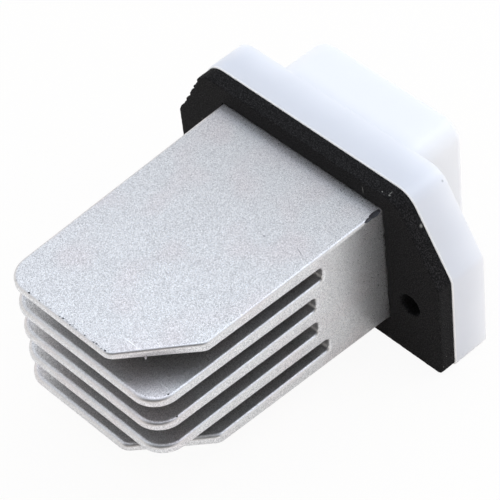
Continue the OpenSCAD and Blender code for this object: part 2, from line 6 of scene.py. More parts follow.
import bmesh
import bpy
from bpy.props import FloatProperty, FloatVectorProperty, PointerProperty
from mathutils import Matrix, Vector


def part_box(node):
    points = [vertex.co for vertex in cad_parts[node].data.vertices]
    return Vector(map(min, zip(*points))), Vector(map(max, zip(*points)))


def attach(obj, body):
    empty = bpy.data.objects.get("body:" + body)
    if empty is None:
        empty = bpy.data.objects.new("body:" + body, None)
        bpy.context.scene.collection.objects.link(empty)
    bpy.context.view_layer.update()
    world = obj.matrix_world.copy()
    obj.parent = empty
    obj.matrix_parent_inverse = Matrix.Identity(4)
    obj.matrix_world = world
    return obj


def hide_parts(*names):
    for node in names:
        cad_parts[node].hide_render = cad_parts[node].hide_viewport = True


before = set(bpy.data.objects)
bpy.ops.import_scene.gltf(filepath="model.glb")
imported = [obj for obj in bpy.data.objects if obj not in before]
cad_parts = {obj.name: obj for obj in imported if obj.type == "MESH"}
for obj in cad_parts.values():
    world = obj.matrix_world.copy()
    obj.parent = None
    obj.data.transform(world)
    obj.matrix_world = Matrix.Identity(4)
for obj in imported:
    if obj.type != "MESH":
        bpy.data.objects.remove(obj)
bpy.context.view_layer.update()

bl_info = {
    "name": "Blower Motor Resistor",
    "version": (1, 0, 0),
    "blender": (4, 5, 0),
    "location": "View3D > Sidebar > Resistor",
    "description": "Models the pieces of a blower motor resistor and gives them their finishes",
    "category": "Object",
}

MM = 0.001
BODY = "root"
UP = Vector((0.0, 0.0, 1.0))
ABOUT_Y = (0, 1, 0)
ABOUT_Z = (0, 0, 1)
WHITE = (1, 1, 1, 1)

# Places in the shared frame, in metres, that the solids' boxes give
GASKET_LOW, GASKET_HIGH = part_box("gasket")
HOUSING_LOW, HOUSING_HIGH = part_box("housing")
FOAM_FRONT = GASKET_LOW.y
FOAM_BACK = GASKET_HIGH.y
BLOCK_BACK = HOUSING_HIGH.y
FLOOR_Z = HOUSING_LOW.z

# The back of the flange, which no box gives
FLANGE_BACK = 11.2 * MM

# How near to a plane a point counts as on it, and how near to each other two points are merged
PLACE_SLACK = 0.05 * MM
MERGE = 0.05 * MM

# Angles in degrees: faces that meet at less than the first become one, edges over the second are rounded,
# and edges under the third are shaded smooth
ONE_FACE = 0.4
SHARP_EDGE = 25.0
SMOOTH_EDGE = 40.0

# The fins' tips lie in front of TIP_REACH, and the top fin over TOP_FIN. A face's normal rises less than
# UPRIGHT on a wall and more than LEVEL on a level face, and a rounding lies between
TIP_REACH = -36.0 * MM
TOP_FIN = 16.0 * MM
UPRIGHT = 0.1
LEVEL = 0.992

# The chips on the heat sink in millimetres: place, radius, and how far it is drawn out along X, Y and Z
NICK = (
    ((19.75, -1.3, 20.2), 0.7, (0.85, 2.0, 0.72)),
    ((19.85, -3.0, 20.1), 0.4, (0.9, 2.4, 0.9)),
)
CORNER_CHIPS = (
    ((18.9, -41.0, 19.4), 0.3, (1.0, 1.5, 0.7)),
    ((18.19, -49.39, 13.27), 0.16, (1.0, 1.4, 0.8)),
    ((18.59, -48.59, 7.17), 0.17, (1.0, 1.2, 0.9)),
    ((18.49, -48.89, 0.97), 0.17, (0.8, 1.3, 0.9)),
)

# Small chips along the top fin's front edge, in millimetres: their places along X, and the edge's Y and Z
TIP_CHIPS = (-12.1, -9.4, -6.6, -4.1, -3.3, -1.4, 0.2, 2.3, 4.6, 5.2, 6.5, 7.4)
TIP_EDGE_Y = -53.0
TIP_EDGE_Z = 19.15
TIP_CHIP_SEED = 11

# The burr that the trimming tool left on the top fin's cut corner, in millimetres, as a fine ridge and its
# point: foot, point, and the radius at each
BURR = (
    ((12.2, -48.76, 18.85), (12.5, -48.52, 17.75), 0.1, 0.1),
    ((12.44, -48.6, 17.95), (12.5, -48.6, 17.2), 0.3, 0.08),
)
BURR_SEED = 3

# Scratches on the heat sink: middle and half lengths in millimetres, and turn about Z in degrees
PALE_SCRATCHES = (
    ((9.4, -48.9, 19.2), (3.4, 0.13, 0.4), 0.0),
    ((15.9, -48.65, 13.3), (2.3, 0.11, 0.4), 0.0),
    ((-6.7, -34.2, 19.5), (0.5, 0.12, 0.4), 10.0),
    ((1.4, -18.95, 19.9), (0.55, 0.14, 0.4), 8.0),
    ((3.1, -26.05, 19.7), (0.14, 0.5, 0.4), 15.0),
    ((-3.5, -8.0, 20.1), (0.6, 0.1, 0.4), 35.0),
    ((8.6, -5.2, 20.2), (0.7, 0.1, 0.4), 20.0),
    ((5.2, -4.3, 20.2), (0.6, 0.12, 0.4), -10.0),
)
# The dark ones are scratches, and at the tip edge and the slot ends marks that paint the shade of small
# chips
DARK_SCRATCHES_AND_CHIP_SHADE = (
    ((16.3, -16.1, 19.95), (1.7, 0.09, 0.4), -20.0),
    ((9.0, -17.5, 19.9), (0.35, 0.2, 0.4), 0.0),
    ((-16.0, -52.6, 19.1), (0.45, 0.12, 0.4), -40.0),
    ((-3.4, -53.0, 19.1), (0.4, 0.12, 0.4), 10.0),
    ((-2.3, -52.9, 19.1), (0.25, 0.14, 0.4), 0.0),
    ((-0.8, -53.0, 19.1), (0.3, 0.1, 0.4), 0.0),
    ((4.4, -53.0, 19.1), (0.35, 0.14, 0.4), 5.0),
    ((5.8, -52.9, 19.1), (0.3, 0.1, 0.4), 0.0),
    ((19.66, -16.4, 8.15), (0.4, 0.3, 0.13), 0.0),
    ((19.66, -16.2, 2.1), (0.4, 0.14, 0.3), 0.0),
)

# Lint on the foam and one speck on the housing, in the same form, turned about Y
LINT = (
    ((15.6, 0.0, 22.3), (0.1, 0.6, 1.0), -7.0),
    ((21.3, 0.87, 24.2), (0.25, 0.25, 0.4), 0.0),
    ((21.1, 1.4, 24.2), (0.1, 0.6, 0.4), 0.0),
    ((26.75, 2.7, 19.0), (0.5, 0.4, 0.5), 0.0),
)
SPECK = (
    ((24.72, 10.3, 22.8), (0.35, 0.28, 0.35), 0.0),
)

# The foam's left slope, whose cut is torn: the direction out of it, how well a face's normal has to follow
# that, how long its edges are at least, the steps along them and the chance that a step has a new depth
LEFT_SLOPE = Vector((-0.876, 0.0, 0.483))
ON_SLOPE = 0.99
LONG_EDGE = 5.0 * MM
TORN_STEPS = 26
NEW_STEP = 0.45
TEAR_SEED = 5

# Mesh widths by which the foam's back stands out before it is trimmed flat
TRIM_WIDTHS = 4

# Limits of the dark card in degrees, as seen from the origin: height, and turn about Z from +X
CARD_HEIGHTS = (15.0, 62.0)
CARD_TURNS = (-105.0, -15.0)


def linear(hex_colour):
    """Turns an sRGB hex colour into the linear RGBA that shaders take."""
    parts = [int(hex_colour[i:i + 2], 16) / 255 for i in (1, 3, 5)]
    return [c / 12.92 if c <= 0.04045 else ((c + 0.055) / 1.055) ** 2.4 for c in parts] + [1.0]


def length(name, description, size_mm):
    """A length that a user may change, given in millimetres."""
    return FloatProperty(
        name=name, description=description, default=size_mm * MM, min=0.0, unit="LENGTH", precision=5
    )


def share(name, description, value):
    """A share from 0 to 1 that a user may change."""
    return FloatProperty(
        name=name, description=description, default=value, min=0.0, max=1.0, subtype="FACTOR"
    )


def amount(name, description, value, unit="NONE"):
    """A number from 0 upwards that a user may change."""
    return FloatProperty(name=name, description=description, default=value, min=0.0, unit=unit)


def spot(name, description, place_mm):
    """A place that a user may change, given in millimetres."""
    return FloatVectorProperty(
        name=name, description=description, default=[c * MM for c in place_mm], unit="LENGTH",
        subtype="TRANSLATION",
    )


def colour(name, description, hex_colour):
    """A colour that a user may change, given as sRGB hex."""
    return FloatVectorProperty(
        name=name, description=description, default=linear(hex_colour), size=4, min=0.0, max=1.0,
        subtype="COLOR",
    )


class HeatSinkSettings(bpy.types.PropertyGroup):
    """Sizes and colours of the die-cast heat sink."""
    edge: length("Edge rounding", "Radius that casting leaves along the fins' edges", 0.58)
    under: length("Lower edges", "Radius of the fins' lower edges at the tips", 0.2)
    upper: length("Upper edges", "Radius of the lower fins' upper edges at the front of the tips", 1.0)
    grain: length("Blasting grain", "Width of a pit that the blasting beads leave", 0.12)
    cloud: length("Cloud", "Width of the faint patches in the casting's skin", 7.0)
    warm: length("Warm patch", "Width of the faint warm patches", 9.1)
    # Painted shade in the slots: how far the heat sink's own walls are sought, and how dark they make the
    # slots
    slot: length("Slot depth", "Distance over which a slot shelters its walls from the beads", 8.0)
    slot_shade: share("Unblasted tone", "Brightness of the sheltered skin next to the blasted skin", 0.52)
    roughness: share("Roughness", "Mean roughness of the blasted skin", 0.43)
    sparkle: share("Sparkle", "How far a grain's roughness may lie from the mean", 0.17)
    rub: share("Rub", "How far handling has rubbed the grain off the edges", 0.6)
    rubbed: share("Rubbed roughness", "Roughness of the metal that handling has rubbed", 0.4)
    rubbed_tone: share("Rubbed tone", "Tone of the rubbed metal, from dark to light grain", 0.32)
    light: colour("Light grain", "Colour of the raised, brighter grains", "#f3f3f3")
    dark: colour("Dark grain", "Colour of the pits between the grains", "#b5b5b7")
    stain: colour("Stain", "Tint of the faint warm patches", "#fffbfb")
    # The chips and nicks are real, and the dark grey of their broken metal is partly painted shade
    broken: colour("Broken metal", "Colour of the dull metal inside chips and nicks", "#626266")
    torn: length("Torn grain", "Width of the torn grain in broken metal", 0.35)


class GasketSettings(bpy.types.PropertyGroup):
    """Sizes and colours of the foam gasket."""
    voxel: length("Mesh width", "Mesh width that softens the cut edges", 0.26)
    ragged: length("Ragged depth", "Depth of the steps torn along the left slope", 0.55)
    swell: length("Swell", "Height of the foam's uneven skin", 0.1)
    ripple: length("Ripple", "Width of the swells in the foam's skin", 0.9)
    cell: length("Foam cell", "Width of a foam cell", 0.24)
    apart: length("Lint spacing", "Distance between the places where lint may cling", 2.2)
    hole: length("Hole shade", "Distance over which a hole's own wall keeps light out", 4.0)
    base: colour("Foam", "Colour of the foam", "#080809")
    grain: colour("Cell wall", "Colour of the foam's paler cell walls", "#343334")
    lint: colour("Lint", "Colour of the lint that clings to the foam", "#8d8d88")


class HousingSettings(bpy.types.PropertyGroup):
    """Sizes and colours of the moulded housing."""
    # front_edge also sets the width of the painted highlight along the edge beside the foam
    front_edge: length("Front edge", "Rounding of the rim's edge beside the foam", 0.25)
    rim_edge: length("Rim edge", "Rounding of the rim's free edge", 0.25)
    block_edge: length("Block edge", "Rounding of the plug block's free edge", 1.5)
    depth: length("Light depth", "How far light wanders inside the plastic", 2.2)
    # milk and drift move the edge of the painted shade beside the foam at random
    milk: length("Milky patch", "Width of the patches in the plastic", 9.0)
    drift: length("Drift", "How far the patches shift the change from backed to free plastic", 1.2)
    spark: length("Spark texture", "Width of the pits that the mould leaves", 0.5)
    roughness: share("Roughness", "Roughness of the moulded surface", 0.36)
    pale: colour("Nylon", "Colour of the free plastic", "#f2f4f9")
    # Painted shade: the greyer colour of the nylon near the foam
    shaded: colour("Backed nylon", "Colour where the dark foam lies behind the wall", "#d8dbe2")
    speck: colour("Speck", "Colour of the one grey speck of dirt", "#b2b4b9")


class TerminalSettings(bpy.types.PropertyGroup):
    """Sizes and colours of the stamped terminals."""
    edge: length("Edge rounding", "Rounding of the stamped edges", 0.12)
    draw: length("Draw lines", "Spacing of the drawn lines along the strip", 0.25)
    worn: length("Worn patch", "Width of the patches that are rubbed thin", 3.0)
    tin: colour("Tin", "Colour of the tin plating", "#d9d2bd")
    brass: colour("Brass", "Colour where brass shows through", "#c2a866")


class InnerSettings(bpy.types.PropertyGroup):
    """Colours of the parts inside the housing."""
    resist: colour("Solder resist", "Colour of the board", "#1d5a34")
    track: colour("Track", "Colour of the resist over copper", "#2f7d49")
    epoxy: colour("Epoxy", "Colour of the moulded packages", "#191a1c")
    zinc: colour("Zinc", "Colour of the plated screws", "#b9bcc0")
    tin: colour("Tin", "Colour of the tin on copper", "#c9c9cb")
    copper: colour("Copper", "Colour where copper shows through", "#b98a68")
    silicone: colour("Silicone", "Colour of the insulating pad", "#b98f8c")
    bush: colour("Bush", "Colour of the insulating bush", "#ccc6b2")
    ceramic: colour("Ceramic", "Colour of the chip capacitors", "#a9855c")
    sleeve: colour("Sleeve", "Colour of the capacitor's sleeve", "#161a2e")


class StageSettings(bpy.types.PropertyGroup):
    """Camera, floor and light."""
    camera: spot("Camera place", "Where the camera stands", (259.8, -221.3, 359.2))
    turn: FloatVectorProperty(
        name="Camera turn", description="How the camera is turned", subtype="EULER",
        unit="ROTATION", default=[math.radians(a) for a in (43.137, 4.825, 46.256)],
    )
    lens: FloatProperty(name="Lens", description="Focal length", default=197.0, min=1.0, unit="CAMERA")
    floor: length("Floor width", "Width of the floor", 4000.0)
    paper: colour("Paper", "Colour of the floor where it lights the object", "#f8f1e8")
    mirrored: colour("Mirrored paper", "Colour of the floor in the metal", "#f8f4ee")
    bounce: amount("Bounce", "How much brighter the metal sees the floor", 1.25)
    shadow: share("Shadow", "How much of the floor's own shading shows", 0.07)
    sky: amount("Sky", "Brightness of the light tent where it lights the object", 1.0)
    seen_sky: amount("Seen sky", "Brightness of the light tent where it is seen", 1.17)
    tint: colour("Light tint", "Colour of the cool light from above", "#e5ecf7")
    side_tint: colour("Side tint", "Colour of the light from the sides", "#fff8f0")
    aim: spot("Lamp aim", "Where both lamps point", (0.0, -15.0, 0.0))
    overhead: amount("Overhead", "Power of the lamp overhead", 0.45, "POWER")
    overhead_width: length("Overhead width", "Width of the lamp overhead", 500.0)
    overhead_place: spot("Overhead place", "Place of the lamp overhead", (-60.0, 60.0, 500.0))
    window: amount("Window", "Power of the lamp behind, on the right", 0.28, "POWER")
    window_width: length("Window width", "Width of the lamp behind", 200.0)
    window_place: spot("Window place", "Place of the lamp behind", (180.0, 215.0, 420.0))
    card: length("Card distance", "Distance of the dark card round the camera", 620.0)
    card_tone: colour("Card", "Colour of the dark card", "#404040")
    scrim: length("Scrim width", "Width of the grey scrim that dims the top near the foam", 300.0)
    scrim_tone: colour("Scrim", "Colour of the grey scrim", "#c0c0c0")
    scrim_edge: spot(
        "Scrim edge", "Middle of the scrim's front edge, which the top mirrors", (-118.0, 72.0, 180.0)
    )


def alone(piece):
    """Makes one object the only selected and active one."""
    bpy.ops.object.select_all(action="DESELECT")
    piece.select_set(True)
    bpy.context.view_layer.objects.active = piece


def merged_copy(node, name):
    """A copy of a solid's mesh, with its loose triangles merged into whole faces."""
    piece = bpy.data.objects.new(name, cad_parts[node].data.copy())
    bpy.context.scene.collection.objects.link(piece)
    alone(piece)
    bpy.ops.object.mode_set(mode="EDIT")
    bpy.ops.mesh.select_all(action="SELECT")
    bpy.ops.mesh.customdata_custom_splitnormals_clear()
    bpy.ops.mesh.remove_doubles(threshold=MERGE)
    bpy.ops.mesh.dissolve_limited(angle_limit=math.radians(ONE_FACE))
    bpy.ops.mesh.select_all(action="DESELECT")
    bpy.ops.object.mode_set(mode="OBJECT")
    return piece


def pick(piece, kind, test):
    """In edit mode, selects only the edges or faces that pass the test."""
    bpy.ops.mesh.select_mode(type=kind)
    bpy.ops.mesh.select_all(action="DESELECT")
    mesh = bmesh.from_edit_mesh(piece.data)
    for part in {"EDGE": mesh.edges, "FACE": mesh.faces}[kind]:
        part.select_set(bool(test(part)))
    mesh.select_flush_mode()
    bmesh.update_edit_mesh(piece.data)


def is_corner(edge):
    """True for an outward edge that is sharp enough to be rounded."""
    return len(edge.link_faces) == 2 and edge.is_convex and edge.calc_face_angle() > math.radians(SHARP_EDGE)


def ends(edge):
    """The places of an edge's two ends."""
    return [v.co for v in edge.verts]


def lies_at(edge, y):
    """True if an edge lies on the plane across Y at this place."""
    return all(abs(p.y - y) < PLACE_SLACK for p in ends(edge))


def is_rim(edge, outline):
    """True if an edge on an upright plane is part of its outer outline, given all the corners there."""
    side = min(edge.link_faces, key=lambda face: abs(face.normal.y))
    reach = max(p.dot(side.normal) for p in outline)
    return min(p.dot(side.normal) for p in ends(edge)) > reach - PLACE_SLACK


def round_edges(piece, widths, segments):
    """Rounds edges, where widths is a list of (test, radius); the first test that an edge passes counts."""
    widest = max(radius for test, radius in widths)
    alone(piece)
    bpy.ops.object.mode_set(mode="EDIT")
    taken = set()
    for test, radius in widths:
        pick(piece, "EDGE", lambda e: e.index not in taken and is_corner(e) and test(e))
        mesh = bmesh.from_edit_mesh(piece.data)
        taken.update(e.index for e in mesh.edges if e.select)
        bpy.ops.transform.edge_bevelweight(value=radius / widest)
    bpy.ops.object.mode_set(mode="OBJECT")
    bevel = piece.modifiers.new("rounding", "BEVEL")
    bevel.limit_method = "WEIGHT"
    bevel.width = widest
    bevel.segments = segments
    bevel.use_clamp_overlap = False
    bevel.loop_slide = False
    bpy.ops.object.modifier_apply(modifier=bevel.name)


def smooth(piece):
    """Smooth shading across rounded edges, with flat faces kept flat."""
    alone(piece)
    bpy.ops.object.shade_smooth_by_angle(angle=math.radians(SMOOTH_EDGE))
    weighted = piece.modifiers.new("flat faces", "WEIGHTED_NORMAL")
    weighted.keep_sharp = True
    bpy.ops.object.modifier_apply(modifier=weighted.name)


def dress(piece, material, node):
    """Gives a piece its material and its body, and hides the solid that it stands for."""
    piece.data.materials.clear()
    piece.data.materials.append(material)
    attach(piece, BODY)
    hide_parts(node)


def add(tree, kind, inputs=None, **settings):
    """Adds one node: settings are its properties, inputs its sockets' values or what feeds them."""
    node = tree.nodes.new("ShaderNode" + kind)
    for name, value in settings.items():
        setattr(node, name, value)
    for name, value in (inputs or {}).items():
        if isinstance(value, bpy.types.NodeSocket):
            tree.links.new(value, node.inputs[name])
        else:
            node.inputs[name].default_value = value
    return node


def new_finish(name, **values):
    """A new material with a shader of these even values, and the object's own coordinates."""
    material = bpy.data.materials.new(name)
    material.use_nodes = True
    tree = material.node_tree
    shader = tree.nodes["Principled BSDF"]
    for socket, value in values.items():
        shader.inputs[socket.replace("_", " ")].default_value = value
    place = add(tree, "TexCoord").outputs["Object"]
    return material, tree, shader, place


def feed(tree, shader, **sockets):
    """Links sockets into a shader, where an underscore stands for the space in an input's name."""
    for name, socket in sockets.items():
        tree.links.new(socket, shader.inputs[name.replace("_", " ")])


def per(size):
    """A pattern's scale for features of this size."""
    return 1.0 / size


def marks(tree, place, streaks, axis):
    """A mask that fades from 1 to 0 out of the middle of each small streak, turned about one axis."""
    mask = None
    for middle, reach, turn in streaks:
        own = add(tree, "Mapping", {
            "Vector": place, "Location": Vector(middle) * MM, "Rotation": Vector(axis) * math.radians(turn),
            "Scale": Vector(reach) * MM,
        }, vector_type="TEXTURE")
        fade = add(tree, "TexGradient", {"Vector": own.outputs[0]}, gradient_type="SPHERICAL").outputs["Fac"]
        mask = add(tree, "Math", {0: mask, 1: fade}, operation="MAXIMUM").outputs[0] if mask else fade
    return mask


def cast_aluminium(look):
    """Aluminium, die-cast and bead-blasted."""
    # Gives the eye a matt silver skin of fine light and dark grains over faint clouds, more even on rubbed
    # edges, with painted shade that darkens the slots. The grain is drawn coarser than the real one, which
    # is finer than a pixel
    material, tree, shader, place = new_finish("die_cast_aluminium_bead_blasted", Metallic=1.0)
    grain = add(tree, "TexVoronoi", {"Vector": place, "Scale": per(look.grain)})
    fleck = add(tree, "SeparateColor", {"Color": grain.outputs["Color"]}).outputs[0]
    cloud = add(tree, "TexNoise", {"Vector": place, "Scale": per(look.cloud), "Detail": 1.0})

    # Rubbed edges: turned is 0 on level and on upright faces, and 0.25 halfway between
    up = add(tree, "SeparateXYZ", {"Vector": add(tree, "NewGeometry").outputs["Normal"]}).outputs["Z"]
    level = add(tree, "Math", {0: up, 1: up}, operation="MULTIPLY").outputs[0]
    upright = add(tree, "Math", {0: 1.0, 1: level}, operation="SUBTRACT").outputs[0]
    turned = add(tree, "Math", {0: level, 1: upright}, operation="MULTIPLY").outputs[0]
    rubbed = add(tree, "MapRange", {"Value": turned, "From Max": 0.15, "To Max": look.rub}).outputs[0]
    depth = add(tree, "Mix", {0: rubbed, 2: fleck, 3: look.rubbed_tone})
    tone = add(tree, "Mix", {0: depth.outputs[0], 6: look.dark, 7: look.light}, data_type="RGBA")

    # Clouds, and painted shade in the slots, darker where the heat sink's own walls close in
    patch = add(tree, "MapRange", {"Value": cloud.outputs["Fac"], "To Min": 0.97, "To Max": 1.02})
    open_to = add(tree, "AmbientOcclusion", {"Distance": look.slot}, only_local=True, samples=8)
    painted_slot_shade = add(tree, "MapRange", {
        "Value": open_to.outputs["AO"], "From Min": 0.1, "From Max": 0.45, "To Min": look.slot_shade,
    })
    value = add(tree, "Math", {0: patch.outputs[0], 1: painted_slot_shade.outputs[0]}, operation="MULTIPLY")

    # Warm patches and scratches
    stain = add(tree, "TexNoise", {"Vector": place, "Scale": per(look.warm), "Detail": 1.0})
    warm = add(tree, "MapRange", {"Value": stain.outputs["Fac"], "From Min": 0.48, "From Max": 0.68})
    stained = add(tree, "Mix", {
        0: warm.outputs[0], 6: tone.outputs[2], 7: look.stain,
    }, data_type="RGBA", blend_type="MULTIPLY")
    pale = marks(tree, place, PALE_SCRATCHES, ABOUT_Z)
    # Dark scratches, and dark marks that paint the shade of small chips at the tip edge and the slot ends
    dark = marks(tree, place, DARK_SCRATCHES_AND_CHIP_SHADE, ABOUT_Z)
    scraped = add(tree, "Mix", {0: pale, 6: stained.outputs[2], 7: WHITE}, data_type="RGBA")
    marked = add(tree, "Mix", {0: dark, 6: scraped.outputs[2], 7: look.broken}, data_type="RGBA")
    shaded = add(tree, "HueSaturation", {"Value": value.outputs[0], "Color": marked.outputs[2]})

    # The brighter grains are the smoother ones
    matt = add(tree, "MapRange", {
        "Value": fleck, "To Min": look.roughness + look.sparkle, "To Max": look.roughness - look.sparkle,
    })
    worn = add(tree, "Mix", {0: rubbed, 2: matt.outputs[0], 3: look.rubbed})
    pits = add(tree, "Bump", {
        "Height": grain.outputs["Distance"], "Strength": 0.4, "Distance": 0.1 * look.grain,
    })
    feed(tree, shader, Base_Color=shaded.outputs[0], Roughness=worn.outputs[0], Normal=pits.outputs[0])
    return material


def cut_foam(look):
    """Closed-cell rubber foam, split and die-cut."""
    # Gives the eye a dull black with grey cell walls, painted shade that makes its holes deep black, and a
    # few flecks of pale lint
    material, tree, shader, place = new_finish(
        "closed_cell_foam_die_cut", Roughness=0.92, Specular_IOR_Level=0.17
    )
    cells = add(tree, "TexVoronoi", {"Vector": place, "Scale": per(look.cell)})
    dust = add(tree, "TexNoise", {"Vector": place, "Scale": per(look.cell), "Detail": 2.0})
    wall = add(tree, "MapRange", {"Value": dust.outputs["Fac"], "From Min": 0.45, "From Max": 0.75})
    skin = add(tree, "Mix", {0: wall.outputs[0], 6: look.base, 7: look.grain}, data_type="RGBA")

    # Lint clings at a few of many scattered places, and along the streaks of LINT
    bits = add(tree, "TexVoronoi", {"Vector": place, "Scale": per(look.apart)})
    near = add(tree, "MapRange", {"Value": bits.outputs["Distance"], "From Min": 0.07, "From Max": 0.03})
    rare = add(tree, "SeparateColor", {"Color": bits.outputs["Color"]})
    few = add(tree, "MapRange", {"Value": rare.outputs[0], "From Min": 0.86, "From Max": 0.9})
    stuck = add(tree, "Math", {0: near.outputs[0], 1: few.outputs[0]}, operation="MULTIPLY")
    streaks = marks(tree, place, LINT, ABOUT_Y)
    clings = add(tree, "Math", {0: stuck.outputs[0], 1: streaks}, operation="MAXIMUM")
    tone = add(tree, "Mix", {0: clings.outputs[0], 6: skin.outputs[2], 7: look.lint}, data_type="RGBA")

    # Painted shade: darker where a hole's own wall keeps light out
    open_to = add(tree, "AmbientOcclusion", {"Distance": look.hole}, only_local=True, samples=8)
    lit = add(tree, "MapRange", {"Value": open_to.outputs["AO"], "From Min": 0.65, "From Max": 0.95})
    painted_hole_shade = add(tree, "HueSaturation", {"Value": lit.outputs[0], "Color": tone.outputs[2]})
    pores = add(tree, "Bump", {
        "Height": cells.outputs["Distance"], "Strength": 0.6, "Distance": 0.2 * look.cell,
    })
    feed(tree, shader, Base_Color=painted_hole_shade.outputs[0], Normal=pores.outputs[0])
    return material


def moulded_nylon(look):
    """Natural nylon, injection moulded."""
    # Gives the eye a cool milky white that light enters, with painted shade that makes it greyer where the
    # dark foam backs the wall, and a painted highlight as a bright line along the edge beside the foam. The
    # mould's pits are drawn coarser than real ones
    material, tree, shader, place = new_finish(
        "natural_nylon_injection_moulded", IOR=1.53, Subsurface_Weight=0.5,
        Subsurface_Radius=(1.0, 1.0, 1.0), Subsurface_Scale=look.depth,
    )
    along = add(tree, "SeparateXYZ", {"Vector": place}).outputs["Y"]
    milk = add(tree, "TexNoise", {"Vector": place, "Scale": per(look.milk), "Detail": 2.0})
    drift = add(tree, "MapRange", {
        "Value": milk.outputs["Fac"], "To Min": -look.drift, "To Max": look.drift,
    })
    reach = add(tree, "Math", {0: along, 1: drift.outputs[0]}, operation="ADD")
    # Painted shade: greyer near the foam, turning to the pale colour towards the back
    free = add(tree, "MapRange", {
        "Value": reach.outputs[0], "From Min": FOAM_BACK + 1.5 * MM, "From Max": FLANGE_BACK + 3.0 * MM,
    }, interpolation_type="SMOOTHSTEP")
    tone = add(tree, "Mix", {0: free.outputs[0], 6: look.shaded, 7: look.pale}, data_type="RGBA")
    # Painted highlight: a white line along the front edge beside the foam
    lip = add(tree, "MapRange", {
        "Value": along, "From Min": FOAM_BACK + 1.3 * look.front_edge,
        "From Max": FOAM_BACK + 0.5 * look.front_edge,
    })
    painted_edge_highlight = add(tree, "Mix", {0: lip.outputs[0], 6: tone.outputs[2], 7: WHITE}, data_type="RGBA")
    speck = marks(tree, place, SPECK, ABOUT_Y)
    dirty = add(tree, "Mix", {0: speck, 6: painted_edge_highlight.outputs[2], 7: look.speck}, data_type="RGBA")
    mould = add(tree, "TexNoise", {"Vector": place, "Scale": per(look.spark), "Detail": 2.0})
    matt = add(tree, "MapRange", {
        "Value": mould.outputs["Fac"], "To Min": look.roughness - 0.06, "To Max": look.roughness + 0.06,
    })
    pits = add(tree, "Bump", {"Height": mould.outputs["Fac"], "Strength": 0.12, "Distance": 0.02 * MM})
    feed(tree, shader, Base_Color=dirty.outputs[2], Roughness=matt.outputs[0], Normal=pits.outputs[0])
    return material


def plated_strip(look, name, plating, bare):
    """Metal strip, drawn, stamped and tin plated."""
    # Gives the eye a soft silver with lines along the strip, and the metal below at rubbed places. The lines
    # are coarser than real ones
    material, tree, shader, place = new_finish(name, Metallic=1.0)
    stretched = add(tree, "Mapping", {"Vector": place, "Scale": (1.0, 0.06, 1.0)})
    lines = add(tree, "TexNoise", {"Vector": stretched.outputs[0], "Scale": per(look.draw), "Detail": 2.0})
    rub = add(tree, "TexNoise", {"Vector": place, "Scale": per(look.worn), "Detail": 3.0})
    thin = add(tree, "MapRange", {
        "Value": rub.outputs["Fac"], "From Min": 0.55, "From Max": 0.8, "To Max": 0.6,
    })
    tone = add(tree, "Mix", {0: thin.outputs[0], 6: plating, 7: bare}, data_type="RGBA")
    matt = add(tree, "MapRange", {"Value": lines.outputs["Fac"], "To Min": 0.22, "To Max": 0.42})
    grooves = add(tree, "Bump", {"Height": lines.outputs["Fac"], "Strength": 0.3, "Distance": 0.01 * MM})
    feed(tree, shader, Base_Color=tone.outputs[2], Roughness=matt.outputs[0], Normal=grooves.outputs[0])
    return material


def mottled(name, tone, grain, contrast, rough, metallic=0.0):
    """A plain moulded, fired or plated surface, with grain of one size in millimetres."""
    # Gives the eye one colour, broken up by fine grain and by patches that shine more or less
    material, tree, shader, place = new_finish(name, Metallic=metallic)
    speck = add(tree, "TexNoise", {"Vector": place, "Scale": per(grain * MM), "Detail": 3.0})
    value = add(tree, "MapRange", {
        "Value": speck.outputs["Fac"], "From Min": 0.3, "From Max": 0.7,
        "To Min": 1.0 - contrast, "To Max": 1.0 + contrast,
    })
    shade = add(tree, "HueSaturation", {"Value": value.outputs[0], "Color": tone})
    matt = add(tree, "MapRange", {"Value": speck.outputs["Fac"], "To Min": rough[0], "To Max": rough[1]})
    relief = add(tree, "Bump", {
        "Height": speck.outputs["Fac"], "Strength": 0.3, "Distance": 0.05 * grain * MM,
    })
    feed(tree, shader, Base_Color=shade.outputs[0], Roughness=matt.outputs[0], Normal=relief.outputs[0])
    return material


def resist_board(look):
    """Glass laminate, coated with solder resist."""
    # Gives the eye a glossy green with paler tracks and the faint weave of the glass
    material, tree, shader, place = new_finish("glass_laminate_solder_resist", Roughness=0.3)
    tracks = add(tree, "TexBrick", {"Vector": place, "Scale": per(20.0 * MM), "Mortar Size": 0.012})
    weave = add(tree, "TexWave", {"Vector": place, "Scale": per(3.0 * MM), "Distortion": 1.0})
    tone = add(tree, "Mix", {0: tracks.outputs["Fac"], 6: look.resist, 7: look.track}, data_type="RGBA")
    cloth = add(tree, "Bump", {"Height": weave.outputs["Fac"], "Strength": 0.15, "Distance": 0.02 * MM})
    feed(tree, shader, Base_Color=tone.outputs[2], Normal=cloth.outputs[0])
    return material


def broken_metal_and_shade(look):
    """Aluminium, broken or dented after blasting."""
    # Gives the eye a dull dark grey with coarse torn grain; the chips are real, and their dark grey is
    # partly painted shade in the pits
    material, tree, shader, place = new_finish("die_cast_aluminium_broken", Metallic=1.0, Roughness=0.6)
    torn = add(tree, "TexNoise", {"Vector": place, "Scale": per(look.torn), "Detail": 4.0})
    value = add(tree, "MapRange", {"Value": torn.outputs["Fac"], "To Min": 0.4, "To Max": 1.5})
    shade = add(tree, "HueSaturation", {"Value": value.outputs[0], "Color": look.broken})
    relief = add(tree, "Bump", {"Height": torn.outputs["Fac"], "Strength": 0.8, "Distance": 0.08 * MM})
    feed(tree, shader, Base_Color=shade.outputs[0], Normal=relief.outputs[0])
    return material


